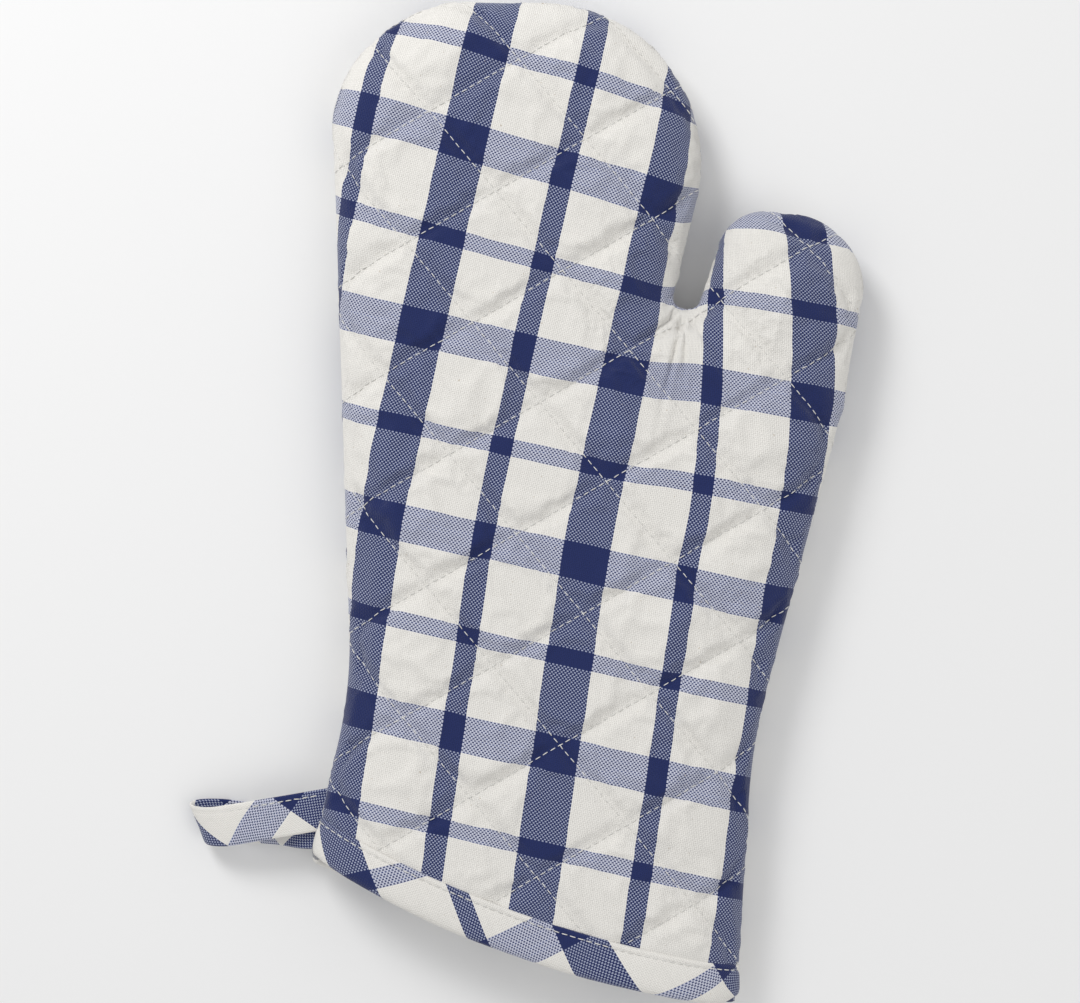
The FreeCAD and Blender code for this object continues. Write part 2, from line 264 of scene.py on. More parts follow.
def strips(rows, count):
    """Faces between neighbouring rows of points, each row holding count of them."""
    faces = []
    for k in range(rows):
        for i in range(count - 1):
            a, b = k * count + i, (k + 1) * count + i
            faces.append([a, b, b + 1, a + 1])
    return faces


# ---- the layout that all layers of a panel share -----------------------------------------------


class Layout:
    """One panel's mesh in the plane: rings along the outline, then triangles across the middle."""

    def __init__(self):
        steps = np.arange(RINGS + 1) / RINGS
        self.insets = EDGE * steps**2
        self.rings = [inset_outline(d) for d in self.insets]
        self.count = len(OUTLINE)
        last = self.rings[-1]
        span = np.linalg.norm(last[0] - last[-1])
        across = np.linspace(0, 1, math.ceil(span / STEP) + 1)[1:-1, None]
        mouth = last[-1] + (last[0] - last[-1]) * across
        mouth = mouth - MOUTH_UP * above_bow(mouth)[:, None]
        border = np.concatenate([last, mouth])
        fill = self.middle_points(border)
        made = geometry.delaunay_2d_cdt(
            np.concatenate([border, fill]).tolist(), [], [list(range(len(border)))], 1, 1e-4
        )
        places, _, triangles, origins = made[:4]
        self.faces = self.join(np.array(places), triangles, origins, len(border))

    def middle_points(self, border):
        """A triangle grid within the border, finer at the crotch, with rows on the quilting lines."""
        low, high = border.min(0), border.max(0)
        grids = []
        for step, fine in ((STEP, False), (STEP / 2, True)):
            rows = np.arange(low[1], high[1], step * math.sqrt(3) / 2)
            columns = np.arange(low[0], high[0], step)
            grid = np.array([(x + step / 2 * (i % 2), y) for i, y in enumerate(rows) for x in columns])
            near = np.linalg.norm(grid - CROTCH, axis=1) < CROTCH_FINE
            grid = grid[near == fine]
            grids.append(grid[to_quilting(grid) > 0.62 * step])
        grid = np.concatenate(grids)
        lines = []
        reach = np.arange(-QUILT_REACH, QUILT_REACH, STEP)
        for normal, along, shift in quilt_frames():
            for number in QUILT_NUMBERS:
                lines.append(normal * (shift + number * QUILT_SPACING) + along * reach[:, None])
        points = np.concatenate([grid] + lines)
        points = points[inside(points, border)]
        return points[distance_to(points, border, np.roll(border, -1, axis=0)) > 0.55 * STEP]

    def join(self, places, triangles, origins, border_count):
        """Numbers the rings' points first and the rest after them, and lists the faces."""
        number, rest = {}, []
        outer = self.count * RINGS
        for i, origin in enumerate(origins):
            kept = [o for o in origin if o < border_count]
            if kept and kept[0] < self.count:
                number[i] = outer + kept[0]
            else:
                number[i] = outer + self.count + len(rest)
                rest.append(places[i])
        self.middle = np.array(rest)
        faces = [[number[i] for i in triangle] for triangle in triangles]
        return faces + strips(RINGS, self.count)

    def flat(self):
        """Where each point lies on the flat cloth, unrolled outwards over the rounded edge."""
        heights = crown(self.insets)
        climb = np.hypot(np.diff(self.insets), np.diff(heights))
        left = np.concatenate([np.cumsum(climb[::-1])[::-1], [0]])
        last = self.rings[-1]
        outward = unit(self.rings[0] - last)
        return np.concatenate([last + outward * d for d in left] + [self.middle])

    def plan(self):
        return np.concatenate(self.rings + [self.middle])

    def inset(self):
        """Distance in from the outline, which runs on straight past the mouth."""
        a, b = OUTLINE[:-1].copy(), OUTLINE[1:].copy()
        a[0] -= HEADING[0] * SIDE_RUN
        b[-1] += HEADING[-1] * SIDE_RUN
        rings = np.repeat(self.insets, self.count)
        return np.concatenate([rings, distance_to(self.middle, a, b)])


LAYOUT = Layout()
PLAN, FLAT, INSET = LAYOUT.plan(), LAYOUT.flat(), LAYOUT.inset()
RING = np.concatenate([np.repeat(np.arange(RINGS + 1), LAYOUT.count),
                       np.full(len(LAYOUT.middle), RINGS)])
QUILTED = to_quilting(FLAT)
UP_MOUTH = above_bow(PLAN)


# ---- a panel's surfaces --------------------------------------------------------------------------


def ripple(xy, size, seed):
    """Soft, repeatable unevenness between -1 and 1, with bumps about as wide as size."""
    waves = 6
    total = np.zeros(len(xy))
    for i in range(waves):
        angle = seed + 2.4 * i
        turns = 2 * math.pi / (size * (0.75 + 0.13 * i))
        total += np.sin(xy @ np.array([math.cos(angle), math.sin(angle)]) * turns + 1.7 * seed * i)
    return total / waves


def edge_frame():
    """For each point: its plan direction inwards, and the tilt of the cloth there, 0 at the seam."""
    inward = unit(LAYOUT.rings[-1] - LAYOUT.rings[0])
    every = np.concatenate([np.tile(inward, (RINGS + 1, 1)), np.zeros((len(LAYOUT.middle), 2))])
    return every, RING / RINGS * math.pi / 2


def sunk(surface_depth, side):
    """A panel's surface moved straight into the panel by a depth, from its nominal outside."""
    inward, tilt = edge_frame()
    xy = PLAN + inward * (surface_depth * np.cos(tilt))[:, None]
    z = crown(INSET) - surface_depth * np.sin(tilt)
    return np.column_stack([xy, HALF + side * z])


def pinch():
    """Folds that run down from the crotch, where the cloth is gathered round a tight curve."""
    away = PLAN - CROTCH
    reach = np.hypot(away[:, 0], away[:, 1])
    angle = np.degrees(np.arctan2(away[:, 0], -away[:, 1]))
    folds = np.zeros(len(PLAN))
    for at, depth, length, width in PINCHES:
        across = (angle - at) / RADIAN * np.maximum(reach, 4) / width
        along = smooth(reach / 4) * (1 - smooth((reach - 6) / length))
        furrow, ridge = np.exp(-across**2), np.exp(-((across - 1.9) ** 2))
        folds += depth * (furrow - 0.5 * ridge) * along
    return folds


def outside(side, seed):
    """The outer cloth before it is blown up: drawn in along the quilting and under the binding."""
    stitched = np.exp(-((QUILTED / QUILT_SPREAD) ** 2))
    bound = 1 - smooth((UP_MOUTH - BINDING_WIDTH + 1.5) / 3)
    uneven = 0.35 * ripple(FLAT, 46, seed) + 0.12 * ripple(FLAT, 11, seed) + pinch()
    soft = QUILT_SINK * stitched * (1 - bound) + uneven
    room = np.maximum(crown(INSET) - PANEL - 0.6, 0)  # so that the lining stays inside
    return sunk(np.minimum(soft, room) * smooth(INSET / 4) + BOUND_SINK * bound, side)


def lined(side):
    """The lining's inner face, which the quilting draws towards the outer cloth."""
    stitched = np.exp(-((QUILTED / LINING_SPREAD) ** 2))
    bound = 1 - smooth((UP_MOUTH - BINDING_WIDTH + 1) / 4)
    return sunk(PANEL - LINING_SINK * np.maximum(stitched, bound) * smooth(INSET / 6), side)


def normals(points, faces):
    """Vertex normals of a surface, by the area of the faces round each point."""
    total = np.zeros_like(points)
    for sides in (3, 4):
        group = np.array([f for f in faces if len(f) == sides])
        a, b, c = (points[group[:, i]] for i in (0, 1, sides - 1))
        across = np.cross(b - a, c - a)
        for i in range(sides):
            np.add.at(total, group[:, i], across)
    return unit(total)


# ---- meshes ------------------------------------------------------------------------------------


def make_mesh(name, points, faces, material, uv=None):
    """A smooth object from points in millimetres, with a UV map in metres of cloth."""
    mesh = bpy.data.meshes.new(name)
    mesh.from_pydata((np.asarray(points) * MM).tolist(), [], [list(map(int, f)) for f in faces])
    mesh.shade_smooth()
    if uv is not None:
        corners = np.empty(len(mesh.loops), int)
        mesh.loops.foreach_get("vertex_index", corners)
        layer = mesh.uv_layers.new(name="cloth")
        layer.data.foreach_set("uv", (np.asarray(uv)[corners] * MM).ravel())
    mesh.materials.append(material)
    mesh.update()
    obj = bpy.data.objects.new(name, mesh)
    bpy.context.scene.collection.objects.link(obj)
    return obj


def inflate(name, points, faces, hold):
    """Blows a surface up where it isn't held, by a cloth simulation, and returns its new points."""
    obj = make_mesh(name, points, faces, bpy.data.materials.new("simulated"))
    group = obj.vertex_groups.new(name="held")
    for level in np.unique(np.round(hold, 1)):
        group.add(np.flatnonzero(np.round(hold, 1) == level).tolist(), float(level), "REPLACE")
    cloth = obj.modifiers.new("cloth", "CLOTH")
    settings = cloth.settings
    settings.quality = 5
    settings.mass = 0.2
    settings.tension_stiffness = 25
    settings.compression_stiffness = 25
    settings.shear_stiffness = 12
    settings.bending_stiffness = 0.6
    settings.tension_damping = 10
    settings.compression_damping = 10
    settings.shear_damping = 10
    settings.vertex_group_mass = group.name
    settings.pin_stiffness = 8
    settings.use_pressure = True
    settings.uniform_pressure_force = PRESSURE
    settings.shrink_min = -GROWTH
    settings.effector_weights.gravity = 0
    cloth.collision_settings.use_collision = False
    scene = bpy.context.scene
    cloth.point_cache.frame_start = 1
    cloth.point_cache.frame_end = FRAMES
    for number in range(1, FRAMES + 1):
        scene.frame_set(number)
    blown = obj.evaluated_get(bpy.context.evaluated_depsgraph_get()).to_mesh()
    found = np.empty(len(blown.vertices) * 3)
    blown.vertices.foreach_get("co", found)
    bpy.data.objects.remove(obj)
    scene.frame_set(1)
    return found.reshape(-1, 3) / MM


def ledge(depth, side):
    """Rings of the seam allowance: from its raw edge out to where a layer meets the side wall."""
    base = inset_outline(depth + LEDGE_START)
    kept = smooth((above_bow(base) - 3) / 10)[:, None]  # it is trimmed away under the binding
    level = np.full(len(base), HALF + side * max(depth, HAIR_GAP))
    rings = []
    for inset in np.linspace(PANEL + ALLOWANCE, depth + LEDGE_START, LEDGE_RINGS):
        full = inset_outline(inset)
        rings.append(np.column_stack([base + (full - base) * kept, level]))
    return rings


def shell(name, side, skins, depths, material, uv):
    """A closed layer of a panel between two surfaces, with its part of the seam allowance."""
    count = LAYOUT.count
    whole = []
    for surface, depth in zip(skins, depths):
        raised = surface.copy()
        raised[:, 2] = HALF + side * np.maximum(side * (surface[:, 2] - HALF), depth)
        whole.append(np.concatenate(ledge(depth, side) + [raised]))
    steps = 2 * np.arange(LEDGE_RINGS, 0, -1)[:, None, None]  # of the pattern, on past the seam
    beyond = uv[:count] + steps * (uv[:count] - uv[count:2 * count])
    uv = np.concatenate([beyond.reshape(-1, 2), uv])
    faces = [[i + LEDGE_RINGS * count for i in face] for face in LAYOUT.faces]
    faces += strips(LEDGE_RINGS, count)
    if side < 0:
        faces = [face[::-1] for face in faces]
    return close(name, *whole, faces, material, uv)


def close(name, top, bottom, faces, material, uv):
    """Joins two sheets of the same layout into a closed skin along their common border."""
    edges = {(a, b) for face in faces for a, b in zip(face, face[1:] + face[:1])}
    border = sorted((a, b) for a, b in edges if (b, a) not in edges)
    total = len(top)
    skin = faces + [[i + total for i in reversed(face)] for face in faces]
    skin += [[b, a, a + total, b + total] for a, b in border]
    return make_mesh(name, np.concatenate([top, bottom]), skin, material, np.concatenate([uv, uv]))


# ---- stitches ----------------------------------------------------------------------------------

# A stitch from end to end: the share of its length, its height in radii, and how thick it is there.
STITCH_STATIONS = (
    (-0.5, -0.32, 0.35),
    (-0.36, 0.3, 0.9),
    (0, 0.62, 1),
    (0.36, 0.3, 0.9),
    (0.5, -0.32, 0.35),
)
STITCH_SIDES = 6
STITCH_RADIUS, STITCH_LIFT, STITCH_FLOOR_GAP = 0.18, 0.1, 0.02


def resample(path, spacing):
    """Points evenly spaced along a polyline, whose columns after the third are carried along."""
    lengths = np.linalg.norm(np.diff(path[:, :3], axis=0), axis=1)
    run = np.concatenate([[0], np.cumsum(lengths)])
    at = np.arange(spacing / 2, run[-1], spacing)
    return np.column_stack([np.interp(at, run, column) for column in path.T])


def stitches(name, rows, pitch, length, material, seed):
    """Separate stitches along rows of surface points with normals (six columns), as one mesh."""
    random = np.random.default_rng(seed)
    middles, alongs, ups = [], [], []
    for row in rows:
        spots = resample(row, pitch)
        if len(spots) < 3:
            continue
        middles.append(spots[:, :3])
        alongs.append(unit(np.gradient(spots[:, :3], axis=0)))
        ups.append(unit(spots[:, 3:6]))
    middle, along, up = (np.concatenate(x) for x in (middles, alongs, ups))
    beside = unit(np.cross(up, along))
    up = np.cross(along, beside)
    along = unit(along + beside * random.normal(0, 0.05, (len(middle), 1)))
    points = []
    for at, height, thick in STITCH_STATIONS:
        centre = middle + along * (at * length) + up * (height * STITCH_RADIUS + STITCH_LIFT)
        for j in range(STITCH_SIDES):
            turn = 2 * math.pi * j / STITCH_SIDES
            rim = beside * math.cos(turn) + up * math.sin(turn)
            points.append(centre + rim * (STITCH_RADIUS * thick))
    points = np.stack(points, axis=1)
    points[:, :, 2] = np.maximum(points[:, :, 2], STITCH_FLOOR_GAP)
    each = points.shape[1]
    faces = []
    for k in range(len(STITCH_STATIONS) - 1):
        for j in range(STITCH_SIDES):
            a, b = k * STITCH_SIDES + j, k * STITCH_SIDES + (j + 1) % STITCH_SIDES
            faces.append([a, b, b + STITCH_SIDES, a + STITCH_SIDES])
    faces.append(list(range(STITCH_SIDES))[::-1])
    faces.append([each - STITCH_SIDES + j for j in range(STITCH_SIDES)])
    every = [[i + each * n for i in face] for n in range(len(points)) for face in faces]
    return make_mesh(name, points.reshape(-1, 3), every, material)


def quilting_rows(surface, normal):
    """Rows of surface points and normals along each quilting line, from the seam to the binding."""
    tree = kdtree.KDTree(len(FLAT))
    for i, (x, y) in enumerate(FLAT):
        tree.insert((x, y, 0), i)
    tree.balance()
    rows = []
    for line_normal, along, shift in quilt_frames():
        for number in QUILT_NUMBERS:
            row = []
            for reach in np.arange(-QUILT_REACH, QUILT_REACH, STEP / 2):
                x, y = line_normal * (shift + number * QUILT_SPACING) + along * reach
                near = tree.find_n((x, y, 0), 4)
                picked = np.array([i for _, i, _ in near])
                off = np.array([distance for _, _, distance in near])
                on_cloth = off[0] < STEP and RING[picked[0]] > 1 and np.ptp(PLAN[picked, 0]) < 5
                if on_cloth and UP_MOUTH[picked[0]] > BINDING_WIDTH:
                    weight = 1 / (off + 0.1) ** 2
                    spot = np.concatenate([surface[picked], normal[picked]], axis=1)
                    row.append(weight @ spot / weight.sum())
                    continue
                if len(row) > 6:
                    rows.append(np.array(row))
                row = []
    return rows


# ---- materials ---------------------------------------------------------------------------------


class Shader:
    """A material's node tree, with short ways to add the nodes that the cloths need."""

    def __init__(self, name, roughness=0.9, sheen=0.25):
        self.material = bpy.data.materials.new(name)
        self.material.use_nodes = True
        self.nodes = self.material.node_tree.nodes
        self.links = self.material.node_tree.links
        self.surface = self.nodes["Principled BSDF"]
        self.surface.inputs["Roughness"].default_value = roughness
        self.surface.inputs["Specular IOR Level"].default_value = 0.25
        self.surface.inputs["Sheen Weight"].default_value = sheen
        self.surface.inputs["Sheen Roughness"].default_value = 0.5

    def set(self, socket, value):
        """Links a socket to another node's output, or gives it a constant."""
        if isinstance(value, bpy.types.NodeSocket):
            self.links.new(value, socket)
        elif value is not None:
            socket.default_value = value

    def math(self, operation, a, b=None, c=None):
        node = self.nodes.new("ShaderNodeMath")
        node.operation = operation
        for socket, value in zip(node.inputs, (a, b, c)):
            self.set(socket, value)
        return node.outputs[0]

    def mix(self, factor, a, b):
        node = self.nodes.new("ShaderNodeMix")
        node.data_type = "RGBA"
        self.set(node.inputs["Factor"], factor)
        self.set(node.inputs["A"], a)
        self.set(node.inputs["B"], b)
        return node.outputs["Result"]

    def cloth_uv(self):
        """Across and along the cloth, in metres."""
        place = self.nodes.new("ShaderNodeUVMap")
        place.uv_map = "cloth"
        parts = self.nodes.new("ShaderNodeSeparateXYZ")
        self.links.new(place.outputs["UV"], parts.inputs[0])
        return parts.outputs["X"], parts.outputs["Y"]

    def noise(self, x, y, scale_x, scale_y, detail=2.0, z=0.0):
        """Noise over the cloth, stretched along the threads by unequal scales."""
        vector = self.nodes.new("ShaderNodeCombineXYZ")
        self.set(vector.inputs["X"], self.math("MULTIPLY", x, scale_x))
        self.set(vector.inputs["Y"], self.math("MULTIPLY", y, scale_y))
        self.set(vector.inputs["Z"], z)
        node = self.nodes.new("ShaderNodeTexNoise")
        node.inputs["Scale"].default_value = 1.0
        node.inputs["Detail"].default_value = detail
        self.links.new(vector.outputs[0], node.inputs["Vector"])
        return node.outputs["Fac"]

    def bump(self, height, distance):
        node = self.nodes.new("ShaderNodeBump")
        node.inputs["Distance"].default_value = distance
        node.inputs["Strength"].default_value = 1.0
        self.set(node.inputs["Height"], height)
        self.links.new(node.outputs[0], self.surface.inputs["Normal"])


def stripe(shader, place, thread, stripes, repeat):
    """1 on the threads of a stripe and 0 elsewhere: stripes are (middle, width) within a repeat."""
    middle = shader.math("ADD", shader.math("FLOOR", shader.math("DIVIDE", place, thread)), 0.5)
    within = shader.math("FLOORED_MODULO", shader.math("MULTIPLY", middle, thread), repeat)
    total = 0.0
    for centre, width in stripes:
        off = shader.math("ABSOLUTE", shader.math("SUBTRACT", within, centre))
        total = shader.math("ADD", shader.math("LESS_THAN", off, width / 2), total)
    return total


def interlace(shader, x, y):
    """Plain weave, thread by thread: 1 where the warp lies on top, and the surface's height."""
    across = shader.math("DIVIDE", x, WARP_PITCH)
    along = shader.math("DIVIDE", y, WEFT_PITCH)
    column, line = shader.math("FLOOR", across), shader.math("FLOOR", along)

    def bulge(place):
        off = shader.math("MULTIPLY_ADD", shader.math("FRACT", place), 2.0, -1.0)
        return shader.math("SUBTRACT", 1.0, shader.math("MULTIPLY", off, off))

    def wave(place, thread):
        turns = shader.math("ADD", shader.math("SUBTRACT", place, 0.5), thread)
        return shader.math("COSINE", shader.math("MULTIPLY", turns, math.pi))

    warp_height = shader.math("MULTIPLY_ADD", wave(along, column), 0.6, WARP_LEAD)
    warp_height = shader.math("ADD", warp_height, bulge(across))
    weft_height = shader.math("MULTIPLY_ADD", wave(across, line), -0.6, 0.0)
    weft_height = shader.math("ADD", weft_height, bulge(along))
    warp_over = shader.math("GREATER_THAN", warp_height, weft_height)
    return warp_over, shader.math("MAXIMUM", warp_height, weft_height)


def yarn_dyed(shader, x, y, warp_over, weft_slub):
    """The check's colour, with painted shade on the white threads within the stripes, and 1 where the
    thread on top is a dyed one.
    """
    warp = stripe(shader, x, WARP_PITCH, WARP_STRIPES, WARP_REPEAT)
    weft = stripe(shader, y, WEFT_PITCH, WEFT_STRIPES, WEFT_REPEAT)
    dyed_warp = shader.math("MULTIPLY", warp_over, warp)
    dyed_weft = shader.math("MULTIPLY", shader.math("SUBTRACT", 1.0, warp_over), weft)
    dyed = shader.math("ADD", dyed_warp, dyed_weft)
    # Within the stripes the white threads take painted shade, darker and bluer than their own colour.
    undyed_with_painted_shade = shader.mix(weft, (*NATURAL, 1.0), (*SHADED_WHITE_IN_WEFT, 1.0))
    undyed_with_painted_shade = shader.mix(warp, undyed_with_painted_shade, (*SHADED_WHITE_IN_WARP, 1.0))
    faded = shader.math("MULTIPLY", shader.math("GREATER_THAN", weft_slub, 0.56), 0.7)
    faded = shader.math("MULTIPLY", faded, shader.math("SUBTRACT", 1.0, warp))
    dyed_thread = shader.mix(faded, (*NAVY, 1.0), (*FADED, 1.0))
    return shader.mix(dyed, undyed_with_painted_shade, dyed_thread), dyed


def woven(name, plain=None):
    """Plain-woven cotton in the check, or in one plain colour, with painted shade where the threads dip
    into the weave.
    """
    shader = Shader(name)
    x, y = shader.cloth_uv()
    warp_over, height = interlace(shader, x, y)
    warp_slub = shader.noise(x, y, 1 / WARP_PITCH, 60.0)
    weft_slub = shader.noise(x, y, 60.0, 1 / WEFT_PITCH, z=7.0)
    slub = shader.mix(warp_over, weft_slub, warp_slub)
    if plain:
        colour, dyed = plain, 0.0
    else:
        colour, dyed = yarn_dyed(shader, x, y, warp_over, weft_slub)
    # Painted shade: the colour is darkened to 0.62 of itself where the threads dip between their
    # neighbours, then varied along each thread by its slub.
    painted_hollow_shade = shader.nodes.new("ShaderNodeMapRange")
    for socket, value in (("Value", height), ("From Min", 0.1), ("From Max", 1.1), ("To Min", 0.62)):
        shader.set(painted_hollow_shade.inputs[socket], value)
    painted_shade_and_slub = shader.math("MULTIPLY", painted_hollow_shade.outputs[0], shader.math("MULTIPLY_ADD", slub, 0.16, 0.94))
    shade = shader.nodes.new("ShaderNodeVectorMath")
    shade.operation = "SCALE"
    shader.set(shade.inputs[0], colour)
    shader.set(shade.inputs["Scale"], painted_shade_and_slub)
    specks = shader.noise(x, y, 700.0, 700.0, detail=1.0, z=3.0)
    fleck = shader.math("GREATER_THAN", specks, FLECKS)
    fleck = shader.math("MULTIPLY", fleck, shader.math("MULTIPLY_ADD", dyed, -0.5, 0.5))
    flecked = shader.mix(fleck, shade.outputs[0], (*SEED_COAT, 1.0))
    shader.set(shader.surface.inputs["Base Color"], flecked)
    fuzz = shader.noise(x, y, 4000.0, 4000.0, detail=3.0)
    threads, fibres = shader.math("MULTIPLY", height, 0.6), shader.math("MULTIPLY", fuzz, 0.4)
    shader.bump(shader.math("ADD", threads, fibres), 0.18 * MM)
    return shader.material


def spun(name, colour, scale):
    """Thread or wadding: white fibre, finer where the scale is larger."""
    shader = Shader(name, roughness=0.75, sheen=0.3)
    place = shader.nodes.new("ShaderNodeTexCoord")
    fibre = shader.nodes.new("ShaderNodeTexNoise")
    fibre.inputs["Scale"].default_value = scale
    fibre.inputs["Detail"].default_value = 4.0
    shader.links.new(place.outputs["Object"], fibre.inputs["Vector"])
    dark = tuple(c * 0.86 for c in colour)
    tint = shader.mix(fibre.outputs["Fac"], (*dark, 1.0), (*colour, 1.0))
    shader.set(shader.surface.inputs["Base Color"], tint)
    shader.bump(fibre.outputs["Fac"], 0.2 * MM)
    return shader.material


def check_uv(xy, warp_shift=0.0, weft_shift=0.0):
    """Where points of the flat cloth lie in the check, which sewing has drawn a little askew.

    The warp stripes drift sideways towards the fingertips and the cuff, and the other way in the
    thumb. The weft stripes slope, more so past the crotch and less in the thumb.
    """
    x, y = xy[:, 0], xy[:, 1]
    thumb = smooth((x - 22) / 22) * smooth((y + 30) / 60)
    fingers_drift = 7.5 * np.clip((y + 21) / 162, 0, 1.1) ** 1.2
    cuff_drift = 2.5 * np.clip((-21 - y) / 100, 0, 1.2)
    hand_drift = -2 + fingers_drift + cuff_drift
    thumb_drift = -2 - 15.5 * np.clip(y / 105, 0, 1.2) ** 2
    hand_rise = 1.4 - 0.043 * (x + 50) * (1 + 1.6 * smooth((y - 30) / 70))
    thumb_rise = -0.5 - 4 * np.clip((y - 40) / 65, 0, 1.2) ** 1.5
    drift = hand_drift * (1 - thumb) + thumb_drift * thumb
    rise = hand_rise * (1 - thumb) + thumb_rise * thumb
    u = x - drift - STRIPES_AT[0] + WARP_STRIPES[0][0] / MM + warp_shift
    v = y - rise - STRIPES_AT[1] + WEFT_STRIPES[0][0] / MM + weft_shift
    return np.column_stack([u, v])


def bias_uv(along, across, turn, shift):
    cosine, sine = math.cos(math.radians(turn)), math.sin(math.radians(turn))
    return np.column_stack([along * cosine - across * sine, along * sine + across * cosine]) + shift


# ---- the binding ---------------------------------------------------------------------------------

BINDING_TURN, BINDING_SHIFT = 38, (7.2, 22.2)  # of its check: degrees, then along the threads
TOPSTITCH_UP = 10.8  # from the mouth
STITCH_PITCH, STITCH_LENGTH = 2.9, 2.1  # of the binding's and the loop's rows
# The binding's closed section: distance up from the mouth, and depth below the panel's outside.
BINDING_SECTION = (
    (12.6, 1.0), (12.75, 0.55), (12.4, 0.1), (11.7, -0.15), (11.2, -0.05), (10.8, 0.12), (10.4, -0.05),
    (9.6, -0.25), (7.4, -0.35), (5.0, -0.4), (2.6, -0.35), (1.0, -0.05), (-0.1, 0.45), (-0.6, 1.1),
    (-0.8, 1.9), (-0.6, 2.7), (0.0, 3.4), (1.1, 3.9), (3.0, 4.1), (7.0, 4.15), (10.0, 4.1),
    (11.4, 4.0), (11.9, 3.6), (11.6, 3.2), (8.0, 3.15), (2.0, 3.1), (1.0, 2.6), (0.7, 1.9),
    (1.0, 1.2), (3.0, 1.0), (9.0, 1.0),
)


def mouth_ends(up):
    """Points of the outline's two sides at a height above the mouth, or below it if negative."""
    near = RUN < SIDE_RUN
    far = RUN[-1] - RUN < SIDE_RUN
    ends = []
    for picked in (near, far):
        heights = above_mouth(OUTLINE[picked])
        order = np.argsort(heights)
        columns = OUTLINE[picked][order].T
        slope = (HEADING[0] if picked is near else -HEADING[-1]) / (HEADING[0] @ MOUTH_UP)
        base = np.column_stack([np.interp(up, heights[order], c) for c in columns])
        ends.append(base + slope * np.minimum(up, 0)[:, None])
    return ends


def mouth_loop(up, depth, stations):
    """A ring round the mitt, parallel to its mouth, sunk in by a depth: points and normals."""
    left, right = mouth_ends(np.array([up]))
    width = np.linalg.norm(right - left)
    inset = np.minimum(stations, 1 - stations) * width
    front = left + (right - left) * stations[:, None] - MOUTH_UP * bow(stations)[:, None]
    front = np.column_stack([front, HALF + crown(inset)])
    back = front[-2:0:-1].copy()
    back[:, 2] = 2 * HALF - back[:, 2]
    ring = np.concatenate([front, back])
    along = unit(np.roll(ring, -1, axis=0) - np.roll(ring, 1, axis=0))
    up_axis = np.array([MOUTH_UP[0], MOUTH_UP[1], 0])
    out = unit(np.cross(along, up_axis))
    return ring - out * depth, out


def mouth_stations():
    """Shares of the way across the mouth, closer together at the two side edges."""
    edge = LAYOUT.insets[:-1] / MOUTH_WIDTH
    inner = EDGE / MOUTH_WIDTH
    middle = np.linspace(inner, 1 - inner, int(MOUTH_WIDTH / 1.2))
    return np.concatenate([edge, middle, 1 - edge[::-1]])


def binding_lift(place, start, share):
    """How far the binding's free edge is drawn up towards the fingers, at each place round it."""
    back = smooth((HALF + 1 - start[:, 2]) / 4)
    lift = 0.45 * ripple(place, 60, 3.0) - np.sin(share * math.pi)
    at_right_end = 1 - smooth((1 - share) / 0.035)
    at_left_end = 1 - smooth((share - 0.02) / 0.2)
    lift += 2.6 * at_right_end - 2.6 * back * at_left_end
    return lift


def make_binding(material, thread):
    """The bias strip folded over the mouth, a little gathered, and its row of stitches."""
    stations = mouth_stations()
    start, _ = mouth_loop(0, 0.0, stations)
    steps = np.linalg.norm(np.roll(start, -1, axis=0) - start, axis=1)
    run = np.concatenate([[0], np.cumsum(steps)[:-1]])
    place = np.column_stack([run, np.zeros_like(run)])
    lift = binding_lift(place, start, np.concatenate([stations, stations[-2:0:-1]]))
    # The strip is pulled and eased a little along the mouth, which moves its check.
    pulled = run - 8 * smooth((run - 105) / 50) + 3.5 * (1 - smooth((run - 15) / 40))
    rings, uvs, across = [], [], 0
    for i, (up, depth) in enumerate(BINDING_SECTION):
        if i:
            across += math.dist(BINDING_SECTION[i - 1], (up, depth))
        wavy = 0.22 * ripple(place + [0, up * 0.8], 13, 2.0) + 0.1 * ripple(place + [0, up], 5, 5.0)
        ring, out = mouth_loop(up, depth, stations)
        freedom = 1.0 if depth < 2 else 0.4  # the inner leaf lies flatter
        ring = ring + out * (wavy * freedom)[:, None]
        ring[:, :2] += MOUTH_UP * (lift * (1 - up / BINDING_WIDTH))[:, None]
        ring[:, 2] = np.maximum(ring[:, 2], FLOOR_GAP)
        rings.append(ring)
        uvs.append(bias_uv(pulled, np.full(len(run), across), BINDING_TURN, BINDING_SHIFT))
    count, levels = len(run), len(rings)
    faces = []
    for k in range(levels):
        for i in range(count):
            a, b = k * count, (k + 1) % levels * count
            j = (i + 1) % count
            faces.append([a + i, b + i, b + j, a + j])
    piece = make_mesh("binding", np.concatenate(rings), faces, material, np.concatenate(uvs))
    row = np.column_stack(mouth_loop(TOPSTITCH_UP, 0.02, stations))
    row = np.concatenate([row, row[:1]])
    return piece, stitches("binding_stitching", [row], STITCH_PITCH, STITCH_LENGTH, thread, seed=4)


# ---- the hanging loop ------------------------------------------------------------------------------

# The strip's middle line, from its upper end in the seam, round the far bend, to its lower end:
# distance out from the swing axis, height, and distance towards the fingertips.
LOOP_LINE = (
    (-11, 13.8, 1.8), (-4.6, 13.9, 1.4), (2, 13.9, 0.9), (11, 13.4, 0.2), (21, 12.2, -0.6),
    (30, 10.6, -1.3), (36, 8.4, -0.9), (38.2, 5.2, 0.2), (36, 2.0, 1.0), (29, 0.95, 0.3),
    (20, 1.6, -1.9), (11, 5.6, -3.1), (3, 10.2, -4.6), (-4.6, 12.0, -5.2), (-11, 12.1, -5.8),
)
LOOP_WIDTH, LOOP_THICK = 14, 1.5
LOOP_POINTS = 25  # across each face of the strip
LOOP_STITCH = 5.1  # from its middle line to its row of stitches
LOOP_TURN, LOOP_SHIFT = 45, (15.2, -2.2)  # of its check: degrees, then along the threads


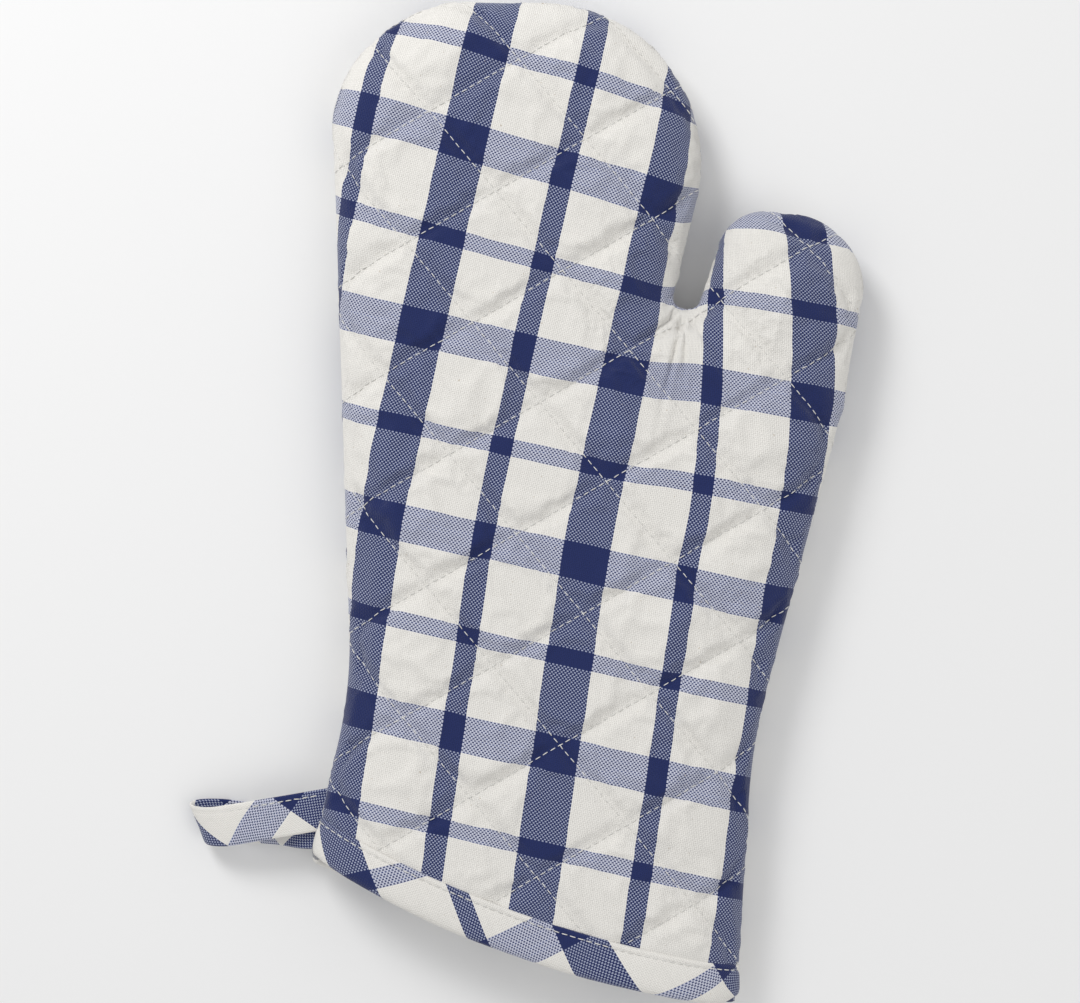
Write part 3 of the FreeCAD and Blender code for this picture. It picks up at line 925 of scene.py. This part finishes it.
def spline(points, spacing):
    """A smooth line through points, evenly sampled."""
    p = np.array(points, float)
    p = np.concatenate([[2 * p[0] - p[1]], p, [2 * p[-1] - p[-2]]])
    t = np.linspace(0, 1, 12, endpoint=False)[:, None]
    runs = []
    for a, b, c, d in zip(p, p[1:], p[2:], p[3:]):
        runs.append(b + 0.5 * t * (c - a + t * (2 * a - 5 * b + 4 * c - d + t * (3 * (b - c) + d - a))))
    dense = np.concatenate(runs + [p[-2:-1]])
    run = np.concatenate([[0], np.cumsum(np.linalg.norm(np.diff(dense, axis=0), axis=1))])
    at = np.linspace(0, run[-1], int(run[-1] / spacing) + 1)
    return np.column_stack([np.interp(at, run, c) for c in dense.T]), at


def loop_section():
    """The folded strip's closed section: distance across it, and height off its middle."""
    share = np.sin(np.linspace(-1, 1, LOOP_POINTS) * math.pi / 2)
    bulge = (1 - np.abs(share) ** 6) ** 0.5
    across = share * LOOP_WIDTH / 2
    groove = 0.28 * np.exp(-(((across - LOOP_STITCH) / 0.55) ** 2))
    top = list(zip(across, (LOOP_THICK / 2 - groove) * bulge))
    return top + [(w, -n) for w, n in top[-2:0:-1]]


def make_loop(material, thread):
    """The folded strip and the stitches along its closed edge."""
    joint = frame["joints"][0]
    axis = unit(np.array(joint["axis"]))
    root = np.array(joint["pos_m"]) / MM
    out = np.cross([0, 0, 1], axis)
    line, run = spline(LOOP_LINE, 0.8)
    middle = np.array([root[0], root[1], 0]) + line[:, :1] * out + line[:, 2:] * axis
    middle[:, 2] = line[:, 1]
    along = unit(np.gradient(middle, axis=0))
    wide = unit(axis - along * (along @ axis)[:, None])
    up = np.cross(wide, along)
    up *= np.sign(up[0, 2])
    rings, uvs = [], []
    for across, height in loop_section():
        place = np.column_stack([run, np.full(len(run), across)])
        soft = 0.12 * ripple(place, 9, 1.0 + (height < 0))
        lean = out * (0.3 * across * smooth((line[:, :1] - 14) / 20))
        ring = middle + wide * across + lean + up * (height + soft)[:, None]
        ring[:, 2] = np.maximum(ring[:, 2], FLOOR_GAP)
        rings.append(ring)
        uvs.append(bias_uv(*place.T, LOOP_TURN, LOOP_SHIFT))
    count, levels = len(run), len(rings)
    faces = []
    for k in range(levels):
        for i in range(count - 1):
            a, b = k * count + i, (k + 1) % levels * count + i
            faces.append([a, b, b + 1, a + 1])
    faces.append([k * count for k in range(levels)][::-1])
    faces.append([k * count + count - 1 for k in range(levels)])
    piece = make_mesh("loop", np.concatenate(rings), faces, material, np.concatenate(uvs))
    seen = line[:, 0] > -5  # past the side seam
    row = np.column_stack([middle + wide * LOOP_STITCH + up * (LOOP_THICK / 2 - 0.25), up])[seen]
    return piece, stitches("loop_stitching", [row], STITCH_PITCH, STITCH_LENGTH, thread, seed=6)


# ---- the panels --------------------------------------------------------------------------------


def make_panel(side, label, seed, uv, cloths):
    """One panel's outer cloth, wadding, lining and quilting stitches."""
    points = outside(side, seed)
    faces = LAYOUT.faces if side > 0 else [f[::-1] for f in LAYOUT.faces]
    bound = 1 - smooth((UP_MOUTH - BINDING_WIDTH - 1) / 3)
    hold = np.maximum(np.exp(-((QUILTED / 0.9) ** 2)), np.maximum(bound, RING == 0))
    blown = inflate(label, points, faces, hold)
    moved = blown - points
    start = normals(points, faces)
    inwards = np.minimum(0, (moved * start).sum(axis=1, keepdims=True))
    moved = moved - start * inwards  # only the puffing outwards is kept
    length = np.linalg.norm(moved, axis=1, keepdims=True)
    points = points + moved * np.minimum(1, PUFF_CAP / np.maximum(length, 1e-9))
    points[:, 2] = np.maximum(points[:, 2], FLOOR_GAP)
    out = normals(points, faces)
    inner = lined(side)
    skins = [points, points - out * CLOTH, inner - (inner - points) * 0.12, inner]
    depths = (0.0, CLOTH, PANEL - CLOTH, PANEL)
    pieces = {}
    for i, (name, cloth) in enumerate(zip(("outer_cloth", "wadding", "lining_cloth"), cloths)):
        pieces[name] = shell(f"{label}_{name}", side, skins[i:i + 2], depths[i:i + 2], cloth, uv)
    rows = quilting_rows(points, out)
    pieces["quilting"] = stitches(f"{label}_quilting", rows, 3.0, 2.0, cloths[3], seed)
    return pieces


def make_seam(thread):
    """The side seam's stitches, where they show on both allowances inside the mitt."""
    ring = inset_outline(PANEL + SEAM_INSET)
    kept = above_bow(ring) > BINDING_WIDTH
    rows = []
    for side in (-1, 1):
        level = np.full(kept.sum(), HALF + side * (PANEL + HAIR_GAP))
        up = np.tile([0, 0, side], (kept.sum(), 1))
        rows.append(np.column_stack([ring[kept], level, up]))
    return stitches("side_seam", rows, 2.8, 2.1, thread, seed=3)


# ---- stage -------------------------------------------------------------------------------------

# In metres and watts: each lamp's name, place, size and power.
LAMPS = (("key", (-0.75, 0.75, 0.85), 0.5, 9.0), ("fill", (0.9, -0.5, 1.1), 1.0, 3.0))
SKY = 0.62
FLOOR_REACH = 3.0  # in metres
LENS, SENSOR = 100, 36
VIEW_MIDDLE, VIEW_WIDTH = (-3.1, -5.5), 371.9  # of what the camera sees at the seam's height
CAMERA_TURN = math.radians(10)


def make_floor():
    """A plain pale sheet of paper under the mitt."""
    r = FLOOR_REACH
    floor = bpy.data.objects.new("floor", bpy.data.meshes.new("floor"))
    floor.data.from_pydata([(-r, -r, 0), (r, -r, 0), (r, r, 0), (-r, r, 0)], [], [(0, 1, 2, 3)])
    paper = bpy.data.materials.new("paper")
    paper.use_nodes = True
    surface = paper.node_tree.nodes["Principled BSDF"]
    surface.inputs["Base Color"].default_value = (0.86, 0.86, 0.86, 1)
    surface.inputs["Roughness"].default_value = 0.9
    floor.data.materials.append(paper)
    bpy.context.scene.collection.objects.link(floor)
    return floor


def make_light():
    """A bright even sky, a soft key light from the upper left and a weaker one opposite."""
    world = bpy.data.worlds.new("studio")
    bpy.context.scene.world = world
    world.use_nodes = True
    background = world.node_tree.nodes["Background"]
    background.inputs["Color"].default_value = (1, 1, 1, 1)
    background.inputs["Strength"].default_value = SKY
    for name, place, size, power in LAMPS:
        lamp = bpy.data.lights.new(name, "AREA")
        lamp.size = size
        lamp.energy = power
        obj = bpy.data.objects.new(name, lamp)
        obj.location = place
        obj.rotation_euler = (-Vector(place)).to_track_quat("-Z", "Y").to_euler()
        bpy.context.scene.collection.objects.link(obj)


def make_camera():
    """A camera that looks straight down on the mitt, a little turned."""
    camera = bpy.data.objects.new("camera", bpy.data.cameras.new("camera"))
    camera.data.lens = LENS
    height = HALF + VIEW_WIDTH * LENS / SENSOR
    camera.location = (VIEW_MIDDLE[0] * MM, VIEW_MIDDLE[1] * MM, height * MM)
    camera.rotation_euler = (0, 0, CAMERA_TURN)
    camera.data.clip_end = 10
    bpy.context.scene.collection.objects.link(camera)
    bpy.context.scene.camera = camera
    bpy.context.scene.view_settings.view_transform = "Standard"


# ---- the whole mitt ------------------------------------------------------------------------------

make_floor()
make_light()
make_camera()
check = woven("check_cotton")
plain = woven("plain_cotton", CREAM)
wadding = spun("wadding", (0.86, 0.85, 0.82), 900.0)
thread = spun("sewing_thread", (0.85, 0.84, 0.81), 5000.0)

cloths = (check, wadding, plain, thread)
front = make_panel(1, "front", 1, check_uv(FLAT), cloths)
back = make_panel(-1, "back", 4, check_uv(FLAT, *BACK_SHIFTS), cloths)
for label, panel in (("front", front), ("back", back)):
    for piece, node, slot in (
        ("outer_cloth", "outer_fabric", "check_cotton"),
        ("wadding", "batting", "batting"),
        ("lining_cloth", "lining", "lining_cotton"),
        ("quilting", "quilting_thread", "thread"),
    ):
        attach(panel[piece], "mitt")
        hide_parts(f"{label}_{node}")

binding, binding_stitching = make_binding(check, thread)
seam = make_seam(thread)
for piece, node, slot in (
    (binding, "cuff_binding", "bias_check"),
    (binding_stitching, "binding_topstitch", "thread"),
    (seam, "side_seam_thread", "thread"),
):
    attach(piece, "mitt")
    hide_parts(node)

loop, loop_stitching = make_loop(check, thread)
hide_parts("hanging_loop", "hanging_loop_ends")
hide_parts("loop_edge_stitch")
for piece in (loop, loop_stitching):
    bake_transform(piece)
